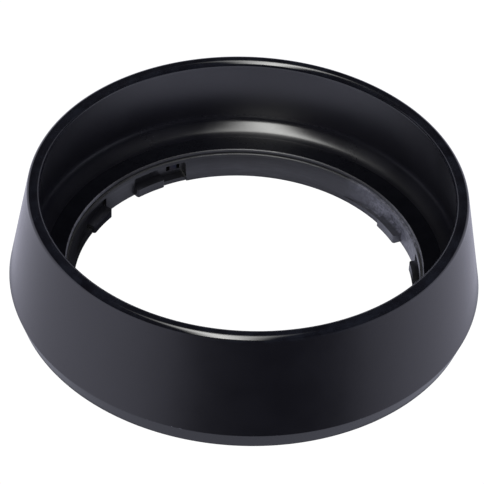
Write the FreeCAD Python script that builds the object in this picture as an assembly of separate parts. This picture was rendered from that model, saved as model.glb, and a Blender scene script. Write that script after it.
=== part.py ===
"""Lens hood: a short conical shell, wider at the back, with a bayonet ring screwed into its rear.

Millimetres, optical axis along Z, rear face on Z = 0, front rim up. Angles are counter-clockwise
from +X, seen from the front. The bayonet is one pattern (an entry slot with a lug and a channel
on each side) repeated three times round the axis.
"""
import FreeCAD, Part
import math
import os

# Overall outline of the shell
HEIGHT = 21.3                # rear face to front rim
FOOT_R = 38.3                # outer edge of the rear face
WIDEST_R = 39.4              # widest circle, at the top of the bevelled foot
WIDEST_Z = 3.35
RIM_OUTER_R = 36.1           # where the outer wall would meet the rim plane
RIM_INNER_R = 33.9
INNER_SLOPE = math.radians(10.0)
RIM_OUTER_ROUND = 0.9
RIM_INNER_ROUND = 0.8
WIDEST_ROUND = 0.25
FOOT_ROUND = 0.2

# Ledge inside the shell and the seat below it for the bayonet ring
LEDGE_Z = 5.15               # top of the ledge
LEDGE_FILLET = 2.85          # concave fillet between inner wall and ledge
LIP_R = 29.9                 # inner edge of the ledge
LIP_ROUND = 0.22
LIP_UNDER_Z = 4.6
SEAT_R = 35.6                # counterbore that holds the ring's flange

# Bayonet ring
RING_REAR_Z = 0.1            # the ring sits just inside the rear face
RING_TOP_Z = 4.45
FLANGE_R = 35.5
FLANGE_TOP_Z = 1.9
BARREL_R = 32.2              # outside of the barrel, held in the shell's bore
THROAT_REAR_R = 28.65
THROAT_TOP_R = 29.55
EDGE_CHAMFER = 0.12

# One bayonet station; angles are offsets from the middle of its entry slot
STATIONS = 3
FIRST_STATION = 19.0
SLOT_HALF = 6.8
SLOT_R = 29.6
LUG_END = 18.0
LUG_TOP_Z = 1.7
LONG_LUG_R = 28.2
SHORT_LUG_R = 28.6
LONG_CHANNEL_END = 36.0
SHORT_CHANNEL_END = 26.5
CHANNEL_R = 30.3
CHANNEL_FLOOR_Z = 0.9
CHANNEL_TOP_Z = 3.8
SHORT_FLOOR_R = 29.0         # the floor of the short channel is cut back past its lug
RUN_OUT_R = 29.0             # the long channel gets shallower, down to this radius at its end
RUN_OUT_FROM = -20.0         # direction of the run-out arc's centre, from the middle of the slot
CORNER = 0.4

# Detent leaf spring behind each short channel
SPRING_INNER_R = 31.16
SPRING_THICK = 0.25
SPRING_LOW_Z = 2.15
SPRING_HIGH_Z = 3.65
SPRING_FREE_END = 18.5
SPRING_TAIL = 51.3
NOSE_AT = 22.5
NOSE_HALF = 1.7
NOSE_TIP_R = 29.95
NOSE_SIDE_GAP = 0.15         # nose is that much lower than the leaf, above and below
POCKET_R = 31.1              # floor of the spring's pocket in the barrel
POCKET_FROM = 16.5
POCKET_TO = 53.5
POCKET_TOP_Z = 4.0
WINDOW_HALF = 2.4
RIVET_AT = 49.5
RIVET_R = 0.4
RIVET_HOLE_R = 0.55
RIVET_HEAD_R = 0.7
RIVET_HEAD_THICK = 0.28
RIVET_END_R = 30.1
RIVET_GAP = 0.06

# Countersunk screws that hold the ring in the shell
SCREW_AT = 60.0
SCREW_CIRCLE_R = 33.8
SCREW_R = 0.85
SCREW_CLEAR_R = 0.95
SCREW_HEAD_R = 1.45
SCREW_HEAD_Z = 0.38
SCREW_TIP_Z = 4.0
SCREW_HOLE_TOP_Z = 4.2
SCREW_SLOT_WIDTH = 0.35
SCREW_SLOT_DEPTH = 0.35

Z_AXIS = FreeCAD.Vector(0, 0, 1)
ORIGIN = FreeCAD.Vector(0, 0, 0)


def station_angles():
    """Middle of each entry slot, in degrees."""
    return [FIRST_STATION + 360.0 / STATIONS * index for index in range(STATIONS)]


def at(radius, angle, z):
    """Point at a radius, an angle in degrees and a height."""
    turn = math.radians(angle)
    return FreeCAD.Vector(radius * math.cos(turn), radius * math.sin(turn), z)


def rounded_profile(corners):
    """Closed XZ wire through (radius, z, rounding) corners, with tangent arcs at the rounded ones."""
    count = len(corners)
    points = [FreeCAD.Vector(radius, 0, z) for radius, z, rounding in corners]
    starts, ends, middles = [], [], []
    for index in range(count):
        corner, rounding = points[index], corners[index][2]
        back = (points[index - 1] - corner).normalize()
        ahead = (points[(index + 1) % count] - corner).normalize()
        if rounding == 0:
            starts.append(corner)
            ends.append(corner)
            middles.append(None)
            continue
        half = back.getAngle(ahead) / 2
        reach = rounding / math.tan(half)
        centre = corner + (back + ahead).normalize() * (rounding / math.sin(half))
        starts.append(corner + back * reach)
        ends.append(corner + ahead * reach)
        middles.append(centre + (corner - centre).normalize() * rounding)
    edges = []
    for index in range(count):
        if middles[index] is not None:
            edges.append(Part.Arc(starts[index], middles[index], ends[index]).toShape())
        edges.append(Part.LineSegment(ends[index], starts[(index + 1) % count]).toShape())
    return Part.Wire(edges)


def turned(corners):
    """Solid of revolution about the optical axis."""
    return Part.Face(rounded_profile(corners)).revolve(ORIGIN, Z_AXIS, 360)


def sector(inner_r, outer_r, low_z, high_z, start, end):
    """Block between two radii, two heights and two angles."""
    corners = [at(inner_r, start, low_z), at(outer_r, start, low_z)]
    corners += [at(outer_r, start, high_z), at(inner_r, start, high_z)]
    face = Part.Face(Part.makePolygon(corners + corners[:1]))
    return face.revolve(ORIGIN, Z_AXIS, end - start)


def rounded_inner_ends(block, inner_r, radius):
    """Round a sector's two upright edges at its inner radius."""
    edges = []
    for edge in block.Edges:
        first, last = edge.Vertexes[0].Point, edge.Vertexes[-1].Point
        upright = abs(first.x - last.x) + abs(first.y - last.y) < 1e-6
        inner = abs(math.hypot(first.x, first.y) - inner_r) < 1e-6
        if upright and inner:
            edges.append(edge)
    return block.makeFillet(radius, edges)


def rounded_far_end(block, far_angle, radius):
    """Round a sector's two radial edges at one of its ends."""
    edges = []
    for edge in block.Edges:
        first, last = edge.Vertexes[0].Point, edge.Vertexes[-1].Point
        level = abs(first.z - last.z) < 1e-6
        turns = [math.degrees(math.atan2(p.y, p.x)) - far_angle for p in (first, last)]
        at_end = all(abs((turn + 180) % 360 - 180) < 1e-3 for turn in turns)
        if level and at_end:
            edges.append(edge)
    return block.makeFillet(radius, edges)


def hood_shell():
    """Conical wall, rounded front rim, inner ledge and stepped seat for the ring, in one turning."""
    wall_foot_r = RIM_INNER_R + (HEIGHT - LEDGE_Z) * math.tan(INNER_SLOPE)
    shell = turned([
        (FOOT_R, 0, FOOT_ROUND),
        (WIDEST_R, WIDEST_Z, WIDEST_ROUND),
        (RIM_OUTER_R, HEIGHT, RIM_OUTER_ROUND),
        (RIM_INNER_R, HEIGHT, RIM_INNER_ROUND),
        (wall_foot_r, LEDGE_Z, LEDGE_FILLET),
        (LIP_R, LEDGE_Z, LIP_ROUND),
        (LIP_R, LIP_UNDER_Z, 0),
        (BARREL_R, LIP_UNDER_Z, 0),
        (BARREL_R, FLANGE_TOP_Z, 0),
        (SEAT_R, FLANGE_TOP_Z, 0),
        (SEAT_R, 0, FOOT_ROUND),
    ])
    for angle in station_angles():
        depth = SCREW_HOLE_TOP_Z - FLANGE_TOP_Z
        centre = at(SCREW_CIRCLE_R, angle - SCREW_AT, FLANGE_TOP_Z)
        shell = shell.cut(Part.makeCylinder(SCREW_R, depth, centre, Z_AXIS))
    return shell


def ring_blank():
    """Barrel and flange of the bayonet ring, before the bayonet is cut."""
    return turned([
        (THROAT_REAR_R, RING_REAR_Z, EDGE_CHAMFER),
        (FLANGE_R, RING_REAR_Z, EDGE_CHAMFER),
        (FLANGE_R, FLANGE_TOP_Z, 0),
        (BARREL_R, FLANGE_TOP_Z, 0),
        (BARREL_R, RING_TOP_Z, 0),
        (THROAT_TOP_R, RING_TOP_Z, EDGE_CHAMFER),
    ])


def lug(slot, side, inner_r):
    """Shelf beside an entry slot; side is +1 or -1."""
    start, end = sorted((slot + side * SLOT_HALF, slot + side * LUG_END))
    block = sector(inner_r, CHANNEL_R + 0.4, RING_REAR_Z, LUG_TOP_Z, start, end)
    return rounded_inner_ends(block, inner_r, CORNER)


def short_channel(slot):
    """Groove that a lens tab turns into, as deep all along, and the cut-back edge of its floor."""
    inside = LONG_LUG_R - 1
    near, far = slot - SLOT_HALF, slot - SHORT_CHANNEL_END
    groove = sector(inside, CHANNEL_R, CHANNEL_FLOOR_Z, CHANNEL_TOP_Z, far, near)
    groove = rounded_far_end(groove, far, CORNER)
    return groove.fuse(sector(inside, SHORT_FLOOR_R, RING_REAR_Z - 1, CHANNEL_FLOOR_Z, far, near))


def long_channel(slot):
    """Groove on the slot's other side, cut on an off-centre arc so that it runs out at its end."""
    near = math.cos(math.radians(SLOT_HALF - RUN_OUT_FROM))
    far = math.cos(math.radians(LONG_CHANNEL_END - RUN_OUT_FROM))
    shift = (CHANNEL_R - RUN_OUT_R) / (near - far)
    centre = at(shift, slot + RUN_OUT_FROM, CHANNEL_FLOOR_Z)
    height = CHANNEL_TOP_Z - CHANNEL_FLOOR_Z
    arc = Part.makeCylinder(CHANNEL_R - shift * near, height, centre, Z_AXIS)
    groove = sector(LONG_LUG_R - 1, CHANNEL_R, CHANNEL_FLOOR_Z, CHANNEL_TOP_Z,
                    slot + SLOT_HALF, slot + LONG_CHANNEL_END)
    return groove.common(arc)


def spring_pocket(slot):
    """Pocket in the outside of the barrel for the leaf, with a window for its nose."""
    pocket = sector(POCKET_R, BARREL_R + 1, FLANGE_TOP_Z, POCKET_TOP_Z, slot - POCKET_TO, slot - POCKET_FROM)
    nose = slot - NOSE_AT
    window = sector(CHANNEL_R - 0.5, POCKET_R + 0.1, SPRING_LOW_Z - 0.1, SPRING_HIGH_Z + 0.1,
                    nose - WINDOW_HALF, nose + WINDOW_HALF)
    return pocket.fuse(window)


def rivet_shank(slot, radius, end_r):
    """Cylinder along the rivet's radial axis, from the barrel wall out to end_r."""
    middle_z = (SPRING_LOW_Z + SPRING_HIGH_Z) / 2
    start = at(RIVET_END_R, slot - RIVET_AT, middle_z)
    outward = at(1, slot - RIVET_AT, 0)
    return Part.makeCylinder(radius, end_r - RIVET_END_R, start, outward)


def screw_head_cone(slot, extra):
    """Countersink about a ring screw, wider than the head by extra."""
    height = SCREW_HEAD_R - SCREW_R
    centre = at(SCREW_CIRCLE_R, slot - SCREW_AT, SCREW_HEAD_Z)
    return Part.makeCone(SCREW_HEAD_R + extra, SCREW_R + extra, height, centre, Z_AXIS)


def bayonet_ring():
    """Ring with three entry slots, six lugs and their channels, spring pockets and screw holes."""
    ring = ring_blank()
    for slot in station_angles():
        inside = LONG_LUG_R - 1
        entry = sector(inside, SLOT_R, RING_REAR_Z - 1, CHANNEL_TOP_Z, slot - SLOT_HALF, slot + SLOT_HALF)
        ring = ring.cut(entry)
        ring = ring.cut(long_channel(slot))
        ring = ring.cut(short_channel(slot))
        ring = ring.fuse(lug(slot, 1, LONG_LUG_R))
        ring = ring.fuse(lug(slot, -1, SHORT_LUG_R))
        ring = ring.cut(spring_pocket(slot))
        ring = ring.cut(rivet_shank(slot, RIVET_R, BARREL_R))
        below = at(SCREW_CIRCLE_R, slot - SCREW_AT, RING_REAR_Z - 1)
        ring = ring.cut(Part.makeCylinder(SCREW_CLEAR_R, FLANGE_TOP_Z - RING_REAR_Z + 2, below, Z_AXIS))
        ring = ring.cut(screw_head_cone(slot, SCREW_CLEAR_R - SCREW_R))
        mouth_r = SCREW_HEAD_R + SCREW_CLEAR_R - SCREW_R
        ring = ring.cut(Part.makeCylinder(mouth_r, SCREW_HEAD_Z - RING_REAR_Z + 1, below, Z_AXIS))
    return ring.removeSplitter()


def detent_spring(slot):
    """Curved steel leaf with a formed nose near its free end and a rivet hole near its tail."""
    outer_r = SPRING_INNER_R + SPRING_THICK
    leaf = sector(SPRING_INNER_R, outer_r, SPRING_LOW_Z, SPRING_HIGH_Z,
                  slot - SPRING_TAIL, slot - SPRING_FREE_END)
    low, high = SPRING_LOW_Z + NOSE_SIDE_GAP, SPRING_HIGH_Z - NOSE_SIDE_GAP
    middle = slot - NOSE_AT
    nose = sector(NOSE_TIP_R, outer_r, low, high, middle - NOSE_HALF, middle + NOSE_HALF)
    nose = rounded_inner_ends(nose, NOSE_TIP_R, 0.5)
    wall_angle = math.degrees(SPRING_THICK / SPRING_INNER_R)
    hollow = sector(NOSE_TIP_R + SPRING_THICK, outer_r + 1, low + SPRING_THICK, high - SPRING_THICK,
                    middle - NOSE_HALF + wall_angle, middle + NOSE_HALF - wall_angle)
    hollow = rounded_inner_ends(hollow, NOSE_TIP_R + SPRING_THICK, 0.3)
    return leaf.fuse(nose).cut(hollow).cut(rivet_shank(slot, RIVET_HOLE_R, BARREL_R)).removeSplitter()


def spring_rivets():
    """One small rivet per leaf, each a separate solid, set radially in the barrel."""
    rivets = []
    for slot in station_angles():
        head_inner_r = SPRING_INNER_R + SPRING_THICK + RIVET_GAP
        shank = rivet_shank(slot, RIVET_R, head_inner_r)
        middle_z = (SPRING_LOW_Z + SPRING_HIGH_Z) / 2
        seat = at(head_inner_r, slot - RIVET_AT, middle_z)
        head = Part.makeCylinder(RIVET_HEAD_R, RIVET_HEAD_THICK, seat, at(1, slot - RIVET_AT, 0))
        rivets.append(shank.fuse(head).removeSplitter())
    return Part.makeCompound(rivets)


def ring_screws():
    """One countersunk slotted screw per station, each a separate solid."""
    screws = []
    for slot in station_angles():
        angle = slot - SCREW_AT
        base = at(SCREW_CIRCLE_R, angle, SCREW_HEAD_Z)
        screw = Part.makeCylinder(SCREW_R, SCREW_TIP_Z - SCREW_HEAD_Z, base, Z_AXIS)
        screw = screw.fuse(screw_head_cone(slot, 0))
        length = 4 * SCREW_HEAD_R
        groove = Part.makeBox(length, SCREW_SLOT_WIDTH, 2 * SCREW_SLOT_DEPTH)
        groove.translate(FreeCAD.Vector(-length / 2, -SCREW_SLOT_WIDTH / 2, -SCREW_SLOT_DEPTH))
        groove.rotate(ORIGIN, Z_AXIS, angle + 35)
        groove.translate(base)
        screws.append(screw.cut(groove).removeSplitter())
    return Part.makeCompound(screws)


def build_parts():
    """Every sub-part by node name."""
    right, left, front = station_angles()
    return {
        "hood_shell": hood_shell(),
        "bayonet_ring": bayonet_ring(),
        "detent_spring_right": detent_spring(right),
        "detent_spring_left": detent_spring(left),
        "detent_spring_front": detent_spring(front),
        "spring_rivets": spring_rivets(),
        "ring_screws": ring_screws(),
    }


os.makedirs("parts", exist_ok=True)
for name, shape in build_parts().items():
    print(name, "solids", len(shape.Solids), "valid", shape.isValid(), "volume", round(shape.Volume, 2))
    shape.exportStep("parts/" + name + ".step")
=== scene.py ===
"""Looks of the lens hood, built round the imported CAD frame.

Metres, +Z along the optical axis, rear face on Z = 0. The shell is turned afresh at a finer step than
the frame's mesh, because its rounded rim is glossy. Every other CAD node stays and gets a material.
"""

import math

import bpy
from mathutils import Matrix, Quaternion, Vector


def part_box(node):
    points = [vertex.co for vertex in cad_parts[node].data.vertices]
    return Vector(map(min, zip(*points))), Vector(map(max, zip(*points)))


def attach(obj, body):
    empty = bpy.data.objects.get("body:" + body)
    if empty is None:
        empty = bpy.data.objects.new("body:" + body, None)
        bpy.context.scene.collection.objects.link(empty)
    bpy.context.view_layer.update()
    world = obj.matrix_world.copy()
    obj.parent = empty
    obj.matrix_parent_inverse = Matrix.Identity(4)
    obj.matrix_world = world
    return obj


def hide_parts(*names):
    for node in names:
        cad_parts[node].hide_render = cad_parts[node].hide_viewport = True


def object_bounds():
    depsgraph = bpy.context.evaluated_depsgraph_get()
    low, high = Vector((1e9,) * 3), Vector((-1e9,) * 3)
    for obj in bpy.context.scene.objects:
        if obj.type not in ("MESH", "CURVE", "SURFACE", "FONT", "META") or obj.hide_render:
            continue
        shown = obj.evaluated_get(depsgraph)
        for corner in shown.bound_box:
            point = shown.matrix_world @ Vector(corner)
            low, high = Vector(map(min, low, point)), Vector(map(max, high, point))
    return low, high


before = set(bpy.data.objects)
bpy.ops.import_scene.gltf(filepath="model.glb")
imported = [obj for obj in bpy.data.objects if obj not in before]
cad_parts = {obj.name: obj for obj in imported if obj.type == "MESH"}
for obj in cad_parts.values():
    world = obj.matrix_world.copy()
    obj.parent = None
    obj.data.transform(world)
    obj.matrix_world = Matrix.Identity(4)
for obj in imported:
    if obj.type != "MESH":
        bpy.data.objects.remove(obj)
cad_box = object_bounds()

MM = 0.001


# ---------------------------------------------------------------- camera

CAMERA_ELEVATION = math.radians(40.83)
CAMERA_ROLL = math.radians(2.83)
CAMERA_DISTANCE = 0.4144
CAMERA_AIM = Vector((-0.00063, 0.0, 0.00936))
CAMERA_LENS = 185.0
SENSOR = 36.0


def make_camera():
    """Camera in front of the hood, looking down at it, turned slightly about its own axis."""
    data = bpy.data.cameras.new("camera")
    data.sensor_width = SENSOR
    data.lens = CAMERA_LENS
    camera = bpy.data.objects.new("camera", data)
    back = Vector((0, -math.cos(CAMERA_ELEVATION), math.sin(CAMERA_ELEVATION)))
    camera.location = CAMERA_AIM + back * CAMERA_DISTANCE
    camera.rotation_mode = "QUATERNION"
    level = (-back).to_track_quat("-Z", "Y")
    camera.rotation_quaternion = level @ Quaternion((0, 0, 1), CAMERA_ROLL)
    bpy.context.scene.collection.objects.link(camera)
    bpy.context.scene.camera = camera


make_camera()


# ---------------------------------------------------------------- node trees

class Tree:
    """Short calls for building one shader node tree."""

    def __init__(self, owner):
        owner.use_nodes = True
        self.nodes = owner.node_tree.nodes
        self.links = owner.node_tree.links

    def add(self, kind, inputs=None, **settings):
        """New node with its settings, and its inputs linked or set by index or name."""
        node = self.nodes.new(kind)
        for name, value in settings.items():
            setattr(node, name, value)
        for key, value in (inputs or {}).items():
            self.put(node.inputs[key], value)
        return node

    def put(self, socket, value):
        """Link a socket to another node's output, or set its value."""
        if isinstance(value, bpy.types.NodeSocket):
            self.links.new(value, socket)
        else:
            socket.default_value = value

    def math(self, operation, *values):
        inputs = dict(enumerate(values))
        return self.add("ShaderNodeMath", inputs, operation=operation).outputs[0]

    def step(self, value, low, high, to_low=0.0, to_high=1.0):
        """Smooth step of a value from low to high; low may be the larger one."""
        inputs = {"Value": value, "From Min": low, "From Max": high, "To Min": to_low, "To Max": to_high}
        node = self.add("ShaderNodeMapRange", inputs, interpolation_type="SMOOTHSTEP")
        return node.outputs["Result"]

    def distance(self, x, y):
        """Length of the vector (x, y)."""
        squares = self.math("ADD", self.math("MULTIPLY", x, x), self.math("MULTIPLY", y, y))
        return self.math("SQRT", squares)

    def between(self, value, low, high, soft):
        """One inside the range low to high, with soft ends, and zero outside it."""
        rise = self.step(value, low - soft, low)
        fall = self.step(value, high, high + soft, 1.0, 0.0)
        return self.math("MULTIPLY", rise, fall)

    def ramp(self, value, stops):
        """Curve through (place, level) stops."""
        node = self.add("ShaderNodeFloatCurve", {"Value": value})
        curve = node.mapping.curves[0]
        for place, level in stops[1:-1]:
            curve.points.new(place, level)
        curve.points[0].location = stops[0]
        curve.points[-1].location = stops[-1]
        node.mapping.use_clip = False
        node.mapping.update()
        return node.outputs[0]

    def noise(self, vector, scale, detail=2.0, roughness=0.5):
        inputs = {"Vector": vector, "Scale": scale, "Detail": detail, "Roughness": roughness}
        return self.add("ShaderNodeTexNoise", inputs).outputs["Fac"]

    def mix_colour(self, factor, first, second):
        node = self.add("ShaderNodeMix", {"Factor": factor}, data_type="RGBA")
        self.put(node.inputs["A"], (*first, 1) if isinstance(first, tuple) else first)
        self.put(node.inputs["B"], (*second, 1) if isinstance(second, tuple) else second)
        return node.outputs["Result"]


# ---------------------------------------------------------------- studio

FLOOR_R = 3.0
FLOOR_STRENGTH = 1.05
WHITE = (1.0, 1.0, 1.0)
CARD_R = 42 * MM
CARD_DROP = 0.15 * MM
CARD_TINT = (0.95, 0.97, 1.17)
LIT_SLANT = 0.45                       # slant of the light's edge on the card, in its right half
LIT_REACH = 15.5 * MM, 20 * MM         # where the light on the card starts, towards the back
LIT_RIGHT = 15 * MM, 26 * MM           # where it grows brighter, towards the right
THROAT_SHADE = 23 * MM, 29 * MM        # where the throat's wall dims it
UNDER_SHELL = 33 * MM, 36 * MM         # where the card passes under the shell
FOOT_SHADE = 38.25 * MM, 38.5 * MM     # where the shadow under the foot ends


def make_disc(name, radius, z, sides=96):
    """Flat disc facing up, part of the studio."""
    corners = [(radius * math.cos(turn), radius * math.sin(turn), z)
               for turn in (2 * math.pi * side / sides for side in range(sides))]
    mesh = bpy.data.meshes.new(name)
    mesh.from_pydata(corners, [], [tuple(range(sides))])
    disc = bpy.data.objects.new(name, mesh)
    bpy.context.scene.collection.objects.link(disc)
    return disc


def glow(disc, colour, shading):
    """Make a disc's upper side shine; shading takes the disc's tree and gives the strength."""
    material = bpy.data.materials.new(disc.name)
    tree = Tree(material)
    tree.nodes.clear()
    light = tree.add("ShaderNodeEmission", {"Color": (*colour, 1), "Strength": shading(tree)})
    under = tree.add("ShaderNodeNewGeometry").outputs["Backfacing"]
    clear = tree.add("ShaderNodeBsdfTransparent")
    shown = tree.add("ShaderNodeMixShader", {0: under, 1: light.outputs[0], 2: clear.outputs[0]})
    output = tree.add("ShaderNodeOutputMaterial")
    tree.links.new(shown.outputs[0], output.inputs["Surface"])
    disc.data.materials.append(material)
    disc.visible_shadow = False


def card_strength(tree):
    """Light on the floor inside the throat, shadowed at the left and front, and dim just outside the hood."""
    place = tree.add("ShaderNodeTexCoord").outputs["Object"]
    x, y, _ = tree.add("ShaderNodeSeparateXYZ", {0: place}).outputs
    radius = tree.distance(x, y)
    reach = tree.math("MULTIPLY_ADD", tree.math("MAXIMUM", x, 0.0), LIT_SLANT, y)
    lit = tree.step(reach, *LIT_REACH, 0.03, 0.92)
    lit = tree.math("MULTIPLY", lit, tree.step(x, *LIT_RIGHT, 1.0, 1.8))
    lit = tree.math("MULTIPLY", lit, tree.step(radius, *THROAT_SHADE, 1.0, 0.42))
    outside = tree.step(radius, *UNDER_SHELL)
    inside = tree.math("SUBTRACT", 1.0, outside)
    contact = tree.step(radius, *FOOT_SHADE, 0.05, 0.41)
    return tree.math("MULTIPLY_ADD", lit, inside, tree.math("MULTIPLY", outside, contact))


def make_floor():
    """Pale lit floor for the camera, and a card on it, near the hood, for the hood's reflections."""
    floor = make_disc("floor", FLOOR_R, -2 * CARD_DROP)
    glow(floor, WHITE, lambda tree: FLOOR_STRENGTH)
    floor.visible_glossy = False
    floor.visible_diffuse = False
    card = make_disc("floor_below_hood", CARD_R, -CARD_DROP)
    glow(card, CARD_TINT, card_strength)
    card.visible_camera = False
    card.visible_diffuse = False


SKY_TINT = (1.0, 1.0, 0.97)
SKY_STRENGTH = 14.5
SKY_DIM = 0.03                         # strength outside the bright sweep
SWEEP_RISE = math.radians(11), math.radians(18)      # lower edge of the sweep, as an angle up from the front
SWEEP_FALL = math.radians(78), math.radians(112)     # its upper edge, from nearly overhead to past it
SWEEP_LEFT = -0.42, -0.13              # its left edge, as the X of the direction
SWEEP_RIGHT = -0.16, 0.25              # its right edge
GROUND_TINT = (0.97, 0.97, 1.17)
DARK_SIDE = math.radians(14)           # direction of the dark part of the room, from -Y towards +X
GROUND_LEVELS = [(0.0, 0.70), (0.10, 0.71), (0.25, 0.75), (0.45, 0.86), (0.65, 0.88),
                 (0.82, 0.66), (0.88, 0.44), (0.95, 0.17), (1.0, 0.08)]     # 1 is the dark side
GROUND_TO_RIGHT = -0.15                # change of the ground's strength towards +X
HORIZON_TURN = 0.60, 0.30              # where the ground begins to rise, away from the dark side
HORIZON_RISE = 0.24                    # Z of the horizon's direction behind the hood
HORIZON_SOFT = 0.06


def make_world():
    """Room for the reflections: a bright overhead sweep in front, pale ground, dark elsewhere."""
    world = bpy.data.worlds.new("studio")
    bpy.context.scene.world = world
    tree = Tree(world)
    tree.nodes.clear()
    direction = tree.add("ShaderNodeTexCoord").outputs["Generated"]
    x, y, z = tree.add("ShaderNodeSeparateXYZ", {0: direction}).outputs
    forward = tree.math("MULTIPLY", y, -1.0)
    over = tree.math("ARCTAN2", z, forward)
    upright = tree.math("MULTIPLY", tree.step(over, *SWEEP_RISE), tree.step(over, *SWEEP_FALL, 1.0, 0.0))
    across = tree.math("MULTIPLY", tree.step(x, *SWEEP_LEFT), tree.step(x, *SWEEP_RIGHT, 1.0, 0.0))
    sky = tree.math("MULTIPLY_ADD", tree.math("MULTIPLY", upright, across), SKY_STRENGTH, SKY_DIM)

    ahead = tree.math("MULTIPLY", forward, math.cos(DARK_SIDE))
    ahead = tree.math("MULTIPLY_ADD", x, math.sin(DARK_SIDE), ahead)
    facing = tree.math("DIVIDE", ahead, tree.math("MAXIMUM", tree.distance(x, y), 0.001))
    facing = tree.math("MULTIPLY_ADD", facing, 0.5, 0.5)
    ground = tree.ramp(facing, GROUND_LEVELS)
    ground = tree.math("MULTIPLY", ground, tree.math("MULTIPLY_ADD", x, GROUND_TO_RIGHT, 1.0))

    horizon = tree.step(facing, *HORIZON_TURN, 0.0, HORIZON_RISE)
    above = tree.math("SUBTRACT", z, horizon)
    below = tree.step(above, -HORIZON_SOFT, HORIZON_SOFT, 1.0, 0.0)
    sky_light = tree.add("ShaderNodeBackground", {"Color": (*SKY_TINT, 1), "Strength": sky})
    ground_light = tree.add("ShaderNodeBackground", {"Color": (*GROUND_TINT, 1), "Strength": ground})
    room = tree.add("ShaderNodeMixShader", {0: below, 1: sky_light.outputs[0], 2: ground_light.outputs[0]})
    backdrop = tree.add("ShaderNodeBackground", {"Color": (*WHITE, 1), "Strength": FLOOR_STRENGTH})
    seen = tree.add("ShaderNodeLightPath").outputs["Is Camera Ray"]
    shown = tree.add("ShaderNodeMixShader", {0: seen, 1: room.outputs[0], 2: backdrop.outputs[0]})
    output = tree.add("ShaderNodeOutputWorld")
    tree.links.new(shown.outputs[0], output.inputs["Surface"])
    world.cycles_visibility.diffuse = False


FILL_DISTANCE = 1.0
FILL_SIZE = 0.7
FILL_TINT = (0.92, 0.94, 1.15)
FILLS = [("front", (-0.2, -1.0, 0.55), 1.2),         # name, direction from the hood, power in watts
         ("left", (-1.0, -0.4, 1.0), 3.0),
         ("right", (1.0, -0.4, 1.0), 3.6),
         ("below", (0.3, -0.5, -1.0), 2.5)]


def make_fill(name, direction, power):
    """Square soft light aimed at the middle of the hood, which doesn't show in its reflections."""
    data = bpy.data.lights.new("fill_" + name, "AREA")
    data.size = FILL_SIZE
    data.energy = power
    data.color = FILL_TINT
    light = bpy.data.objects.new("fill_" + name, data)
    out = Vector(direction).normalized()
    light.location = out * FILL_DISTANCE + (cad_box[0] + cad_box[1]) / 2
    light.rotation_mode = "QUATERNION"
    light.rotation_quaternion = out.to_track_quat("Z", "Y")
    light.visible_glossy = False
    bpy.context.scene.collection.objects.link(light)


make_floor()
make_world()
for fill in FILLS:
    make_fill(*fill)
bpy.context.scene.view_settings.view_transform = "Standard"


# ---------------------------------------------------------------- materials
# Heights and distances in this part are in millimetres, and pairs are the two ends of a soft step.

NOISE_RANGE = 0.3, 0.7                 # where nearly all values of a noise lie
NOISE_MIDDLE = 0.35, 0.65              # where most of them lie


class Surface:
    """New material with its node tree, position in millimetres and distance from the axis."""

    def __init__(self, name):
        self.material = bpy.data.materials.new(name)
        self.tree = Tree(self.material)
        self.shader = self.tree.nodes["Principled BSDF"]
        place = self.tree.add("ShaderNodeTexCoord").outputs["Object"]
        scaled = self.tree.add("ShaderNodeVectorMath", {0: place, 1: (1 / MM,) * 3}, operation="MULTIPLY")
        self.place = scaled.outputs[0]
        self.x, self.y, self.z = self.tree.add("ShaderNodeSeparateXYZ", {0: self.place}).outputs
        self.radius = self.tree.distance(self.x, self.y)

    def section(self):
        """Position in the turned section, the same all the way round the axis."""
        return self.tree.add("ShaderNodeCombineXYZ", {0: self.radius, 1: self.z, 2: 0.0}).outputs[0]

    def put(self, socket, value):
        self.tree.put(self.shader.inputs[socket], value)

    def bump(self, height, strength, depth):
        """Fine relief; depth is in metres."""
        node = self.tree.add("ShaderNodeBump", {"Height": height, "Strength": strength, "Distance": depth})
        self.put("Normal", node.outputs[0])


ENAMEL_DEEP = (0.0075, 0.0073, 0.0105)
ENAMEL_PALE = (0.0110, 0.0108, 0.0145)
# painted light: paler enamel that paints the inner wall lighter at its back and front than at its sides
ENAMEL_PAINTED_LIGHT = (0.0176, 0.0172, 0.0222)
RIM_DUST = (0.020, 0.022, 0.028)
# bare metal of the nicks, and of the lip's patches, which are partly painted light
BARE_METAL = (0.22, 0.22, 0.24)
GLOSS_MOTTLE = 0.185, 0.205            # roughness of the enamel between its small mottles
GLOSS_CLOUD = -0.010, 0.015            # and what its large clouds add
RIM_POLISH = 0.11                      # what handling takes off the roughness of the rim
INSIDE_ROUGH = 0.10                     # what the inside adds to the roughness
LIP_ROUGH = 0.22
WORN_ROUGH = 0.15
LIP_METAL = 0.3
RIM_POLISHED = 1.3, 0.5                # depths below the top
# depths below the top where the inner wall's painted light and added roughness stop
INSIDE_RIM_DEPTHS = 0.9, 1.4
WALL_LEAN = 0.18                       # run of the wall for each millimetre of height
INNER_WALL = 35.2, 34.8                # distance from the axis, brought up to the top along the wall
INNER_FOOT = 6.5, 8.5                  # height at which the inner wall starts above the fillet
FOOT_EDGE = 0.0, 0.12, 0.12            # heights between which the edge lies, and the softness
WIDEST_EDGE = 3.28, 3.38, 0.10
OUTSIDE = 37.6, 38.0
LIP_EDGE = 30.25, 30.0
LIP_HEIGHT = 4.3, 4.8
LIP_SIDES = 21.0, 29.0                 # distances to the left or right; the lip's bare patches grow towards its sides, partly wear and partly painted light
# distances to the left or right over which the painted light on the inner wall drops to a fifth
PAINTED_LIGHT_SIDES = 12.0, 28.0
SOFT_SIDES = 10.0, 22.0
ENAMEL_GRAIN = 0.06, 0.012 * MM        # strength and depth of the enamel's relief


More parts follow.
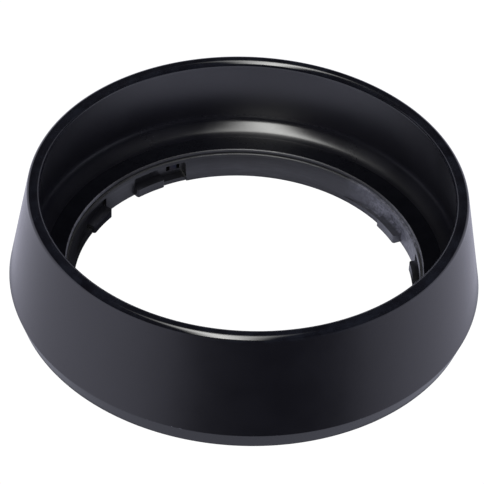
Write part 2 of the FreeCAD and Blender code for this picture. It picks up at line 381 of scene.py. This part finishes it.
def make_enamel():
    """Black satin enamel: even grain, cloudy gloss, a rim polished by handling, a few nicks on edges; painted
    light makes the inner wall paler at its back and front, and the lip's bare patches paler at its sides.
    """
    enamel = Surface("black_enamel")
    tree, place, radius, z = enamel.tree, enamel.place, enamel.radius, enamel.z
    sideways = tree.math("ABSOLUTE", enamel.x)
    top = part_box("hood_shell")[1].z / MM
    cloud = tree.noise(place, 0.12, 3.0, 0.55)
    mottle = tree.noise(place, 1.1, 3.0, 0.6)
    grain = tree.noise(place, 9.0, 2.0, 0.6)

    rim = tree.step(z, top - RIM_POLISHED[0], top - RIM_POLISHED[1])
    lean = tree.math("MULTIPLY_ADD", tree.math("SUBTRACT", top, z), -WALL_LEAN, radius)
    inner = tree.step(lean, *INNER_WALL)
    inside = tree.math("MULTIPLY", inner, tree.step(z, *INNER_FOOT))
    inside = tree.math("MULTIPLY", inside, tree.step(z, top - INSIDE_RIM_DEPTHS[0], top - INSIDE_RIM_DEPTHS[1]))
    # painted light: the inner wall is painted paler at its back and front than at its sides
    painted_light_inside = tree.math("MULTIPLY", inside, tree.step(sideways, *PAINTED_LIGHT_SIDES, 1.0, 0.2))
    dust = tree.math("MULTIPLY", rim, tree.step(tree.noise(place, 0.35, 3.0, 0.55), 0.30, 0.75))

    edges = tree.math("MAXIMUM", tree.between(z, *FOOT_EDGE), tree.between(z, *WIDEST_EDGE))
    edges = tree.math("MULTIPLY", edges, tree.step(radius, *OUTSIDE))
    spots = tree.step(tree.noise(place, 1.7, 4.0, 0.65), 0.60, 0.72)
    nicks = tree.math("MULTIPLY", edges, spots)
    lip = tree.math("MULTIPLY", tree.step(radius, *LIP_EDGE), tree.step(z, *LIP_HEIGHT))
    patches = tree.step(tree.noise(place, 0.5, 4.0, 0.6), 0.30, 0.62, 0.6, 1.0)
    # the lip's bare patches: wear, and painted light where they grow towards the left and right
    lip_wear_and_side_light = tree.math("MULTIPLY", lip, patches)
    lip_wear_and_side_light = tree.math("MULTIPLY", lip_wear_and_side_light, tree.step(sideways, *LIP_SIDES, 0.08, 1.0))
    wear_and_painted_light = tree.math("MAXIMUM", nicks, lip_wear_and_side_light)

    colour = tree.mix_colour(tree.step(cloud, *NOISE_MIDDLE), ENAMEL_DEEP, ENAMEL_PALE)
    # the inner wall's painted light
    colour = tree.mix_colour(painted_light_inside, colour, ENAMEL_PAINTED_LIGHT)
    colour = tree.mix_colour(dust, colour, RIM_DUST)
    # nicks are wear; the lip's patches at its sides are partly painted light
    enamel.put("Base Color", tree.mix_colour(wear_and_painted_light, colour, BARE_METAL))
    enamel.put("Metallic", tree.math("MULTIPLY", lip_wear_and_side_light, LIP_METAL))

    rough = tree.step(mottle, *NOISE_RANGE, *GLOSS_MOTTLE)
    rough = tree.math("ADD", rough, tree.step(cloud, *NOISE_RANGE, *GLOSS_CLOUD))
    rough = tree.math("SUBTRACT", rough, tree.math("MULTIPLY", rim, RIM_POLISH))
    soft = tree.math("MAXIMUM", inside, tree.math("MULTIPLY", inner, tree.step(sideways, *SOFT_SIDES)))
    rough = tree.math("MULTIPLY_ADD", soft, INSIDE_ROUGH, rough)
    rough = tree.math("MULTIPLY_ADD", lip, LIP_ROUGH, rough)
    enamel.put("Roughness", tree.math("MULTIPLY_ADD", wear_and_painted_light, WORN_ROUGH, rough))
    enamel.bump(grain, *ENAMEL_GRAIN)
    return enamel.material


LEDGE_DEEP = (0.0092, 0.0094, 0.0115)
LEDGE_PALE = (0.0115, 0.0117, 0.0140)
LEDGE_SPECULAR = 0.2


def make_ledge_black():
    """Dull black paint on the flat of the ledge."""
    ledge = Surface("ledge_black")
    tree = ledge.tree
    cloud = tree.noise(ledge.place, 0.5, 3.0, 0.6)
    grain = tree.noise(ledge.place, 9.0, 2.0, 0.6)
    ledge.put("Base Color", tree.mix_colour(tree.step(cloud, *NOISE_MIDDLE), LEDGE_DEEP, LEDGE_PALE))
    ledge.put("Roughness", tree.step(cloud, *NOISE_RANGE, 0.18, 0.20))
    ledge.put("Specular IOR Level", LEDGE_SPECULAR)
    ledge.bump(grain, *ENAMEL_GRAIN)
    return ledge.material


DYE_DEEP = (0.0075, 0.0075, 0.0095)
DYE_PALE = (0.0120, 0.0120, 0.0145)
# rubbed dye, also used for the painted light in the groove at the right
DYE_RUBBED_AND_LIT = (0.050, 0.050, 0.060)
# painted light: pale colour painted in the groove at the right, drawn as bare metal
GROOVE_PAINTED_LIGHT = (0.30, 0.30, 0.33)
ANODISED_IOR = 1.6
TURNED_RELIEF = 0.22, 0.02 * MM        # strength and depth of the turning marks
RUB_STRETCH = (0.22, 0.22, 2.4)        # draws the rubbed patches out round the axis
THROAT = 29.3, 28.6                    # distances from the axis
GROOVE_FLOOR = 29.2, 29.8
RING_FLANGE = 30.9, 30.5
UNDERSIDE = 0.2, 0.6                   # heights
COLLAR = 4.1, 4.35
LIT_GROOVE_TURN = math.radians(122)             # middle of the groove that is painted pale as painted light, from -Y towards +X
LIT_GROOVE_REACH = math.cos(math.radians(24)), math.cos(math.radians(14))


def painted_groove_light(ring):
    """Mask of painted light in the ring's groove at the right: one there and zero elsewhere; it is drawn as
    pale rubbed metal.
    """
    tree = ring.tree
    towards = tree.math("MULTIPLY", ring.y, -math.cos(LIT_GROOVE_TURN))
    towards = tree.math("MULTIPLY_ADD", ring.x, math.sin(LIT_GROOVE_TURN), towards)
    near = tree.step(tree.math("DIVIDE", towards, ring.radius), *LIT_GROOVE_REACH)
    groove = tree.math("MULTIPLY", tree.step(ring.radius, *RING_FLANGE), tree.step(ring.z, *UNDERSIDE))
    return tree.math("MULTIPLY", near, groove)


def make_anodised():
    """Black anodised aluminium, turned: fine rings round the axis, mottled where tabs have rubbed, and
    painted pale in the groove at the right as painted light.
    """
    ring = Surface("black_anodised")
    tree, place, radius, z = ring.tree, ring.place, ring.radius, ring.z
    turning = tree.noise(ring.section(), 14.0, 3.0, 0.7)
    cloud = tree.noise(place, 0.35, 3.0, 0.6)
    along = tree.add("ShaderNodeVectorMath", {0: place, 1: RUB_STRETCH}, operation="MULTIPLY").outputs[0]
    rub_and_painted_light = tree.step(tree.noise(along, 1.0, 4.0, 0.6), 0.46, 0.70)
    rub_and_painted_light = tree.math("MULTIPLY", rub_and_painted_light, tree.math("MULTIPLY_ADD", tree.step(radius, *THROAT), 0.4, 0.2))
    # painted light in the groove at the right, mixed into the rubbed patches and drawn as bare metal
    wear_and_painted_light = painted_groove_light(ring)
    rub_and_painted_light = tree.math("MAXIMUM", rub_and_painted_light, tree.math("MULTIPLY", wear_and_painted_light, tree.step(rub_and_painted_light, 0.0, 1.0, 0.75, 1.0)))
    groove_patches = tree.step(tree.noise(place, 1.2, 4.0, 0.65), 0.38, 0.60, 0.35, 1.0)
    groove_light_patches = tree.math("MULTIPLY", wear_and_painted_light, groove_patches)
    groove_light_patches = tree.math("MULTIPLY", groove_light_patches, tree.step(radius, *GROOVE_FLOOR, 0.16, 1.0))

    colour = tree.mix_colour(tree.step(cloud, *NOISE_RANGE), DYE_DEEP, DYE_PALE)
    colour = tree.mix_colour(rub_and_painted_light, colour, DYE_RUBBED_AND_LIT)
    ring.put("Base Color", tree.mix_colour(groove_light_patches, colour, GROOVE_PAINTED_LIGHT))
    rough = tree.math("ADD", tree.step(turning, *NOISE_RANGE, 0.27, 0.37), tree.step(z, *COLLAR, 0.0, 0.15))
    ring.put("Roughness", tree.math("MULTIPLY_ADD", rub_and_painted_light, 0.08, rough))
    ring.put("IOR", ANODISED_IOR)
    ring.bump(turning, *TURNED_RELIEF)
    return ring.material


BLUED_DARK = (0.020, 0.022, 0.034)
BLUED_STRAW = (0.034, 0.031, 0.034)
BRASS = (0.52, 0.37, 0.14)
TARNISH = (0.22, 0.14, 0.06)
OXIDE = (0.020, 0.020, 0.023)
OXIDE_SCRATCHED = (0.16, 0.155, 0.15)
METAL_DEPTH = 0.01 * MM


def finish_metal(metal, relief, strength, roughness, blend, colours):
    """Make a surface metal: two colours mixed by blend, and a roughness and a bump that follow relief."""
    metal.put("Base Color", metal.tree.mix_colour(blend, *colours))
    metal.put("Roughness", metal.tree.step(relief, *NOISE_RANGE, *roughness))
    metal.put("Metallic", 1.0)
    metal.bump(relief, strength, METAL_DEPTH)
    return metal.material


def make_blued_steel():
    """Heat-blued spring steel, brushed along the strip, straw to blue in patches."""
    steel = Surface("blued_steel")
    brushing = steel.tree.noise(steel.section(), 30.0, 3.0, 0.7)
    heat = steel.tree.step(steel.tree.noise(steel.place, 0.6, 2.0, 0.5), *NOISE_MIDDLE)
    return finish_metal(steel, brushing, 0.15, (0.28, 0.42), heat, (BLUED_DARK, BLUED_STRAW))


def make_brass():
    """Dull brass, darker where it has tarnished."""
    brass = Surface("dull_brass")
    tarnish = brass.tree.noise(brass.place, 4.0, 3.0, 0.6)
    dark = brass.tree.step(tarnish, 0.35, 0.7)
    return finish_metal(brass, tarnish, 0.2, (0.30, 0.52), dark, (BRASS, TARNISH))


def make_black_oxide():
    """Black oxide on the screws, rubbed bare in small spots by the screwdriver."""
    oxide = Surface("black_oxide")
    grain = oxide.tree.noise(oxide.place, 25.0, 2.0, 0.5)
    spots = oxide.tree.step(oxide.tree.noise(oxide.place, 3.0, 4.0, 0.65), 0.52, 0.68)
    return finish_metal(oxide, grain, 0.2, (0.32, 0.48), spots, (OXIDE, OXIDE_SCRATCHED))


def dress(node, material):
    """Put one material on a CAD node."""
    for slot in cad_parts[node].material_slots:
        slot.material = material


# ---------------------------------------------------------------- shell

FOOT_R = 38.3 * MM
WIDEST_R = 39.4 * MM
WIDEST_Z = 3.35 * MM
RIM_OUTER_R = 36.1 * MM
RIM_INNER_R = 33.9 * MM
INNER_SLOPE = math.radians(10.0)
LEDGE_Z = 5.15 * MM
LIP_R = 29.9 * MM
LIP_UNDER_Z = 4.6 * MM
BARREL_R = 32.2 * MM
SEAT_R = 35.6 * MM
SEAT_Z = 1.9 * MM
FOOT_ROUND = 0.2 * MM
WIDEST_ROUND = 0.25 * MM
RIM_OUTER_ROUND = 0.9 * MM
RIM_INNER_ROUND = 0.8 * MM
LEDGE_FILLET = 2.85 * MM
LIP_ROUND = 0.22 * MM
SHELL_STEPS = 480
ARC_STEP = math.radians(5)
ARC_STEPS_LEAST = 4
SHORTEST_EDGE = 1e-7
LEVEL = 1e-6                           # how far off a height may be and still count as it


def shell_corners():
    """Corners of the shell's section, as (radius, height, rounding)."""
    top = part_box("hood_shell")[1].z
    wall_foot_r = RIM_INNER_R + (top - LEDGE_Z) * math.tan(INNER_SLOPE)
    return [
        (FOOT_R, 0, FOOT_ROUND),
        (WIDEST_R, WIDEST_Z, WIDEST_ROUND),
        (RIM_OUTER_R, top, RIM_OUTER_ROUND),
        (RIM_INNER_R, top, RIM_INNER_ROUND),
        (wall_foot_r, LEDGE_Z, LEDGE_FILLET),
        (LIP_R, LEDGE_Z, LIP_ROUND),
        (LIP_R, LIP_UNDER_Z, 0),
        (BARREL_R, LIP_UNDER_Z, 0),
        (BARREL_R, SEAT_Z, 0),
        (SEAT_R, SEAT_Z, 0),
        (SEAT_R, 0, FOOT_ROUND),
    ]


def corner_points(before, corner, after, rounding):
    """(point, facing) pairs round one corner: one per side if it is sharp, and along its arc if not."""
    enter, leave = (corner - before).normalized(), (after - corner).normalized()
    facings = Vector((enter.y, -enter.x)), Vector((leave.y, -leave.x))
    if rounding == 0:
        return [(corner, facings[0]), (corner, facings[1])]
    turn = math.atan2(enter.x * leave.y - enter.y * leave.x, enter.dot(leave))
    start = corner - enter * (rounding * math.tan(abs(turn) / 2))
    side = math.copysign(rounding, turn)
    centre = start - facings[0] * side
    steps = max(ARC_STEPS_LEAST, round(abs(turn) / ARC_STEP))
    points = []
    for step in range(steps + 1):
        angle = turn * step / steps
        cos, sin = math.cos(angle), math.sin(angle)
        facing = Vector((facings[0].x * cos - facings[0].y * sin, facings[0].x * sin + facings[0].y * cos))
        points.append((centre + facing * side, facing))
    return points


def section_edges(corners):
    """Edges of a closed section, each as a start and an end, with the way the surface faces at both."""
    places = [Vector(corner[:2]) for corner in corners]
    chain = []
    for index, corner in enumerate(corners):
        before, after = places[index - 1], places[(index + 1) % len(corners)]
        chain += corner_points(before, places[index], after, corner[2])
    edges = []
    for index, first in enumerate(chain):
        second = chain[(index + 1) % len(chain)]
        if (second[0] - first[0]).length > SHORTEST_EDGE:
            edges.append((first, second))
    return edges


def turned_mesh(name, corners, steps, materials, choose):
    """Mesh of revolution with exact shading: smooth along arcs, sharp at corners that have none.

    choose gives the number of an edge's material from the places of its two ends.
    """
    edges = section_edges(corners)
    count = len(edges)
    turns = [2 * math.pi * step / steps for step in range(steps)]
    rounds = [(math.cos(turn), math.sin(turn)) for turn in turns]
    points = [(first[0].x * cos, first[0].x * sin, first[0].y) for cos, sin in rounds for first, _ in edges]
    faces, facings = [], []
    for step in range(steps):
        here, there = step * count, (step + 1) % steps * count
        for index, (first, second) in enumerate(edges):
            ahead = (index + 1) % count
            faces.append((here + index, there + index, there + ahead, here + ahead))
            for end, turn in ((first, step), (first, step + 1), (second, step + 1), (second, step)):
                cos, sin = rounds[turn % steps]
                facings.append((end[1].x * cos, end[1].x * sin, end[1].y))
    mesh = bpy.data.meshes.new(name)
    mesh.from_pydata(points, [], faces)
    for material in materials:
        mesh.materials.append(material)
    mesh.polygons.foreach_set("use_smooth", [True] * len(faces))
    chosen = [choose(first[0], second[0]) for first, second in edges]
    mesh.polygons.foreach_set("material_index", chosen * steps)
    mesh.normals_split_custom_set(facings)
    mesh.update()
    return mesh


def on_ledge(start, end):
    """One for the flat of the ledge, zero elsewhere."""
    return int(all(abs(place.y - LEDGE_Z) < LEVEL for place in (start, end)))


def make_shell():
    """Finely turned shell, shown instead of the frame's mesh of it."""
    materials = make_enamel(), make_ledge_black()
    mesh = turned_mesh("shell", shell_corners(), SHELL_STEPS, materials, on_ledge)
    shell = bpy.data.objects.new("shell", mesh)
    bpy.context.scene.collection.objects.link(shell)
    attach(shell, "hood")
    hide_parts("hood_shell")


make_shell()
dress("bayonet_ring", make_anodised())
blued_steel = make_blued_steel()
for side in ("right", "left", "front"):
    dress("detent_spring_" + side, blued_steel)
dress("spring_rivets", make_brass())
dress("ring_screws", make_black_oxide())
